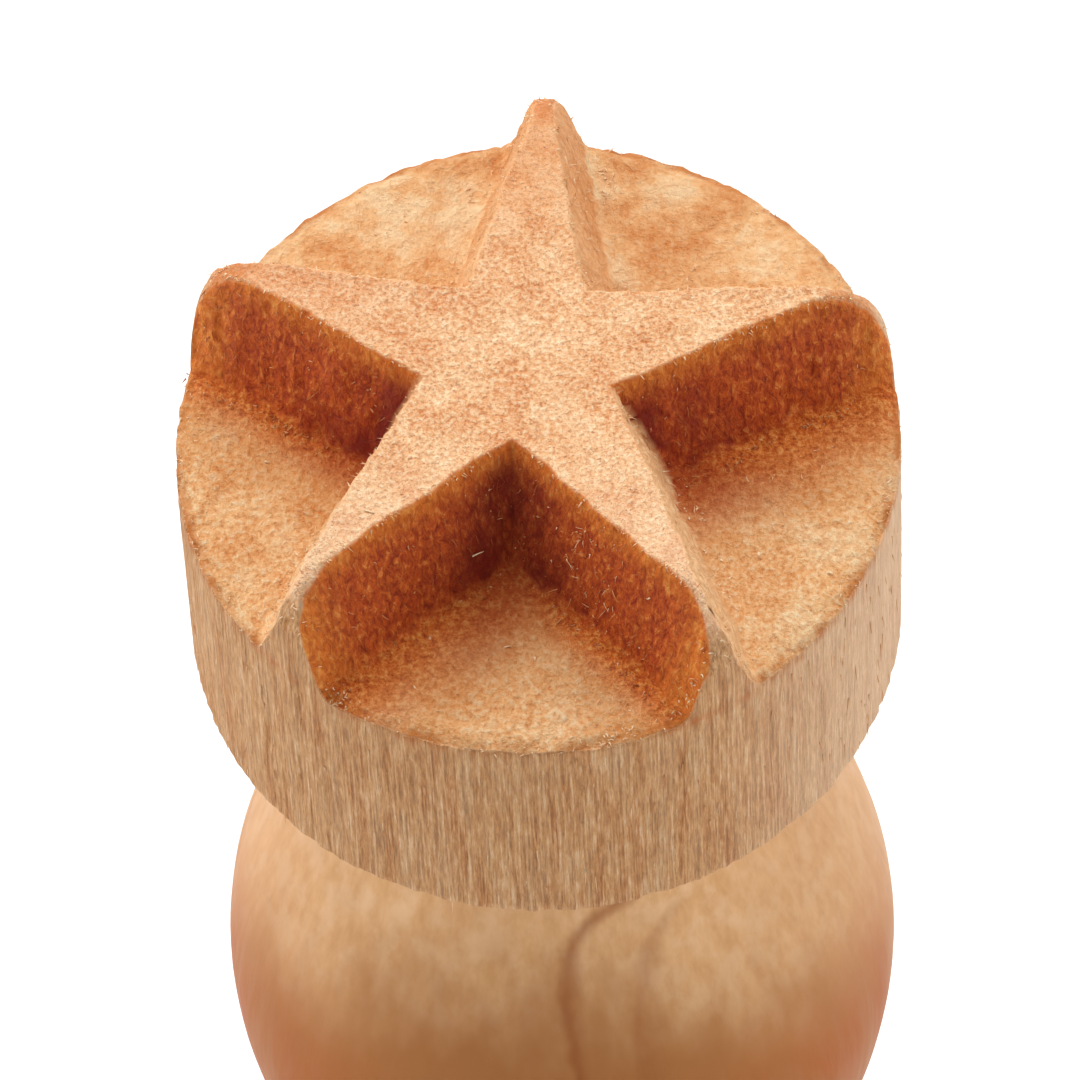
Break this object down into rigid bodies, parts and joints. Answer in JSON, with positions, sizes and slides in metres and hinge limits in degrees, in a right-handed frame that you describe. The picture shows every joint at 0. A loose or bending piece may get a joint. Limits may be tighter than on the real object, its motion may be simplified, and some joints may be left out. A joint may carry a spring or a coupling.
{
  "type": "wooden hand stamp",
  "caption": "Small turned wooden hand stamp: a raised star with drafted walls on the end of a round head, on a bulb-shaped grip with a flat butt.",
  "frame": {"origin": "centre of the grip's flat butt, on the stamp's axis, with the stamp standing on its butt", "axes": "+Z along the axis from the butt to the stamping face; one arm of the star points to +Y, so the star mirrors across the YZ plane"},
  "size_m": [0.015, 0.015, 0.055],
  "materials": {
    "head_wood": "bare turned side grain and end grain, rough, with burnt brown recess walls",
    "grip_wood": "smooth sanded side grain with a soft sheen"
  },
  "bodies": {
    "root": {"stamp_head": "head_wood", "grip": "grip_wood"}
  },
  "joints": []
}
